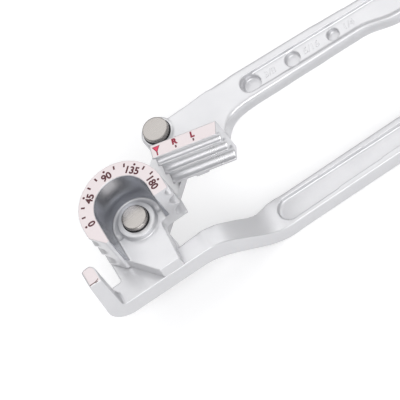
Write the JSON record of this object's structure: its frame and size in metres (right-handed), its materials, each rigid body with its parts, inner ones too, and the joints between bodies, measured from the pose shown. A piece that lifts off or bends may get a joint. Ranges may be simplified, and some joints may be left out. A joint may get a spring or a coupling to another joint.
{
  "type": "lever tube bender",
  "caption": "Hand tube bender: grooved horseshoe wheel with a degree scale and hook on one handle, grooved forming shoe on a second handle that swings on a link.",
  "frame": {"origin": "on the forming wheel's axis, in the plane of the far face of the lower handle's arm, which the tool lies on", "axes": "+Z along the wheel's axis towards the scale face, +X along the lower handle towards its grip, +Y from the lower handle towards the upper handle"},
  "size_m": [0.2432, 0.0733, 0.0652],
  "materials": {
    "casting": "satin die cast, slightly grainy",
    "polished_steel": "polished",
    "link_steel": "zinc plated",
    "blackened_steel": "blackened"
  },
  "bodies": {
    "lower": {"lower_handle": "casting", "forming_wheel": "casting", "wheel_screw_inner": "blackened_steel", "wheel_screw_outer": "blackened_steel", "wheel_dowel_inner": "polished_steel", "wheel_dowel_outer": "polished_steel", "centre_pin": "polished_steel", "centre_spacer": "polished_steel", "centre_washer": "polished_steel", "centre_clip": "blackened_steel"},
    "link": {"link": "link_steel"},
    "upper": {"upper_handle": "casting", "forming_shoe": "casting", "shoe_screw_left": "blackened_steel", "shoe_screw_right": "blackened_steel", "upper_pin": "polished_steel", "upper_sleeve": "casting", "upper_washer": "polished_steel", "upper_clip": "blackened_steel"}
  },
  "joints": [
    {"name": "link_swing", "type": "hinge", "parent": "lower", "child": "link", "pos_m": [0, 0, 0.0279], "axis": [0, 0, 1], "range_deg": [-44.5, 135.5]},
    {"name": "handle_swing", "type": "hinge", "parent": "link", "child": "upper", "pos_m": [0.03267, 0.0321, 0.0279], "axis": [0, 0, 1], "range_deg": [-30.7, 90]}
  ]
}
